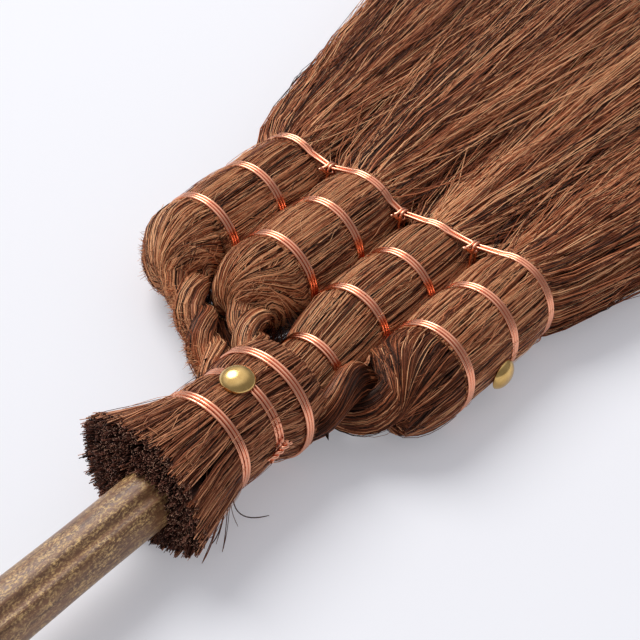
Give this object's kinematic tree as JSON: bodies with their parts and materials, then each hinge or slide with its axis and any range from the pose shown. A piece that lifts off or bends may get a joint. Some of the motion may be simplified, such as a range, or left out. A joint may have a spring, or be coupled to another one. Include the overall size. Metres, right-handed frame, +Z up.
{
  "type": "palm fibre hand broom",
  "caption": "Palm fibre hand broom: bundles bound with copper wire fan out into long bristles, held by a wire-bound fibre collar on a speckled bamboo handle.",
  "frame": {"origin": "on the table, under the third bundle from -X and in line with the cross pin: the flat underside of that bundle", "axes": "+Y from the handle to the bristle tips, +Z up from the table, +X across the head towards the single bundle on that side of the handle"},
  "size_m": [0.2484, 0.66, 0.044],
  "materials": {
    "palm_fibre": "matt natural palm fibre, reddish brown",
    "cut_fibre": "matt cut ends of palm fibre, near black brown",
    "copper_wire": "bright drawn copper wire",
    "brass": "bright brass tack",
    "speckled_bamboo": "satin bamboo with fine yellow speckles",
    "pin_bamboo": "plain split bamboo"
  },
  "bodies": {
    "root": {"collar_fibres": "palm_fibre", "bundle_1": "palm_fibre", "bundle_2": "palm_fibre", "bundle_3": "palm_fibre", "bundle_4": "palm_fibre", "neck_1": "palm_fibre", "neck_2": "palm_fibre", "neck_4": "palm_fibre", "bristles_1": "palm_fibre", "bristles_2": "palm_fibre", "bristles_3": "palm_fibre", "bristles_4": "palm_fibre", "cut_end_stubs": "cut_fibre", "collar_band_1": "copper_wire", "collar_band_2": "copper_wire", "collar_band_3": "copper_wire", "bundle_1_band_1": "copper_wire", "bundle_1_band_2": "copper_wire", "bundle_2_band_1": "copper_wire", "bundle_2_band_2": "copper_wire", "bundle_3_band_1": "copper_wire", "bundle_3_band_2": "copper_wire", "bundle_3_band_3": "copper_wire", "bundle_4_band_1": "copper_wire", "bundle_4_band_2": "copper_wire", "row_tie": "copper_wire", "tie_stitch_1": "copper_wire", "tie_stitch_2": "copper_wire", "tie_stitch_3": "copper_wire", "collar_tack": "brass", "side_tack_left": "brass", "side_tack_right": "brass", "bamboo_handle": "speckled_bamboo", "cross_pin": "pin_bamboo"}
  },
  "joints": []
}
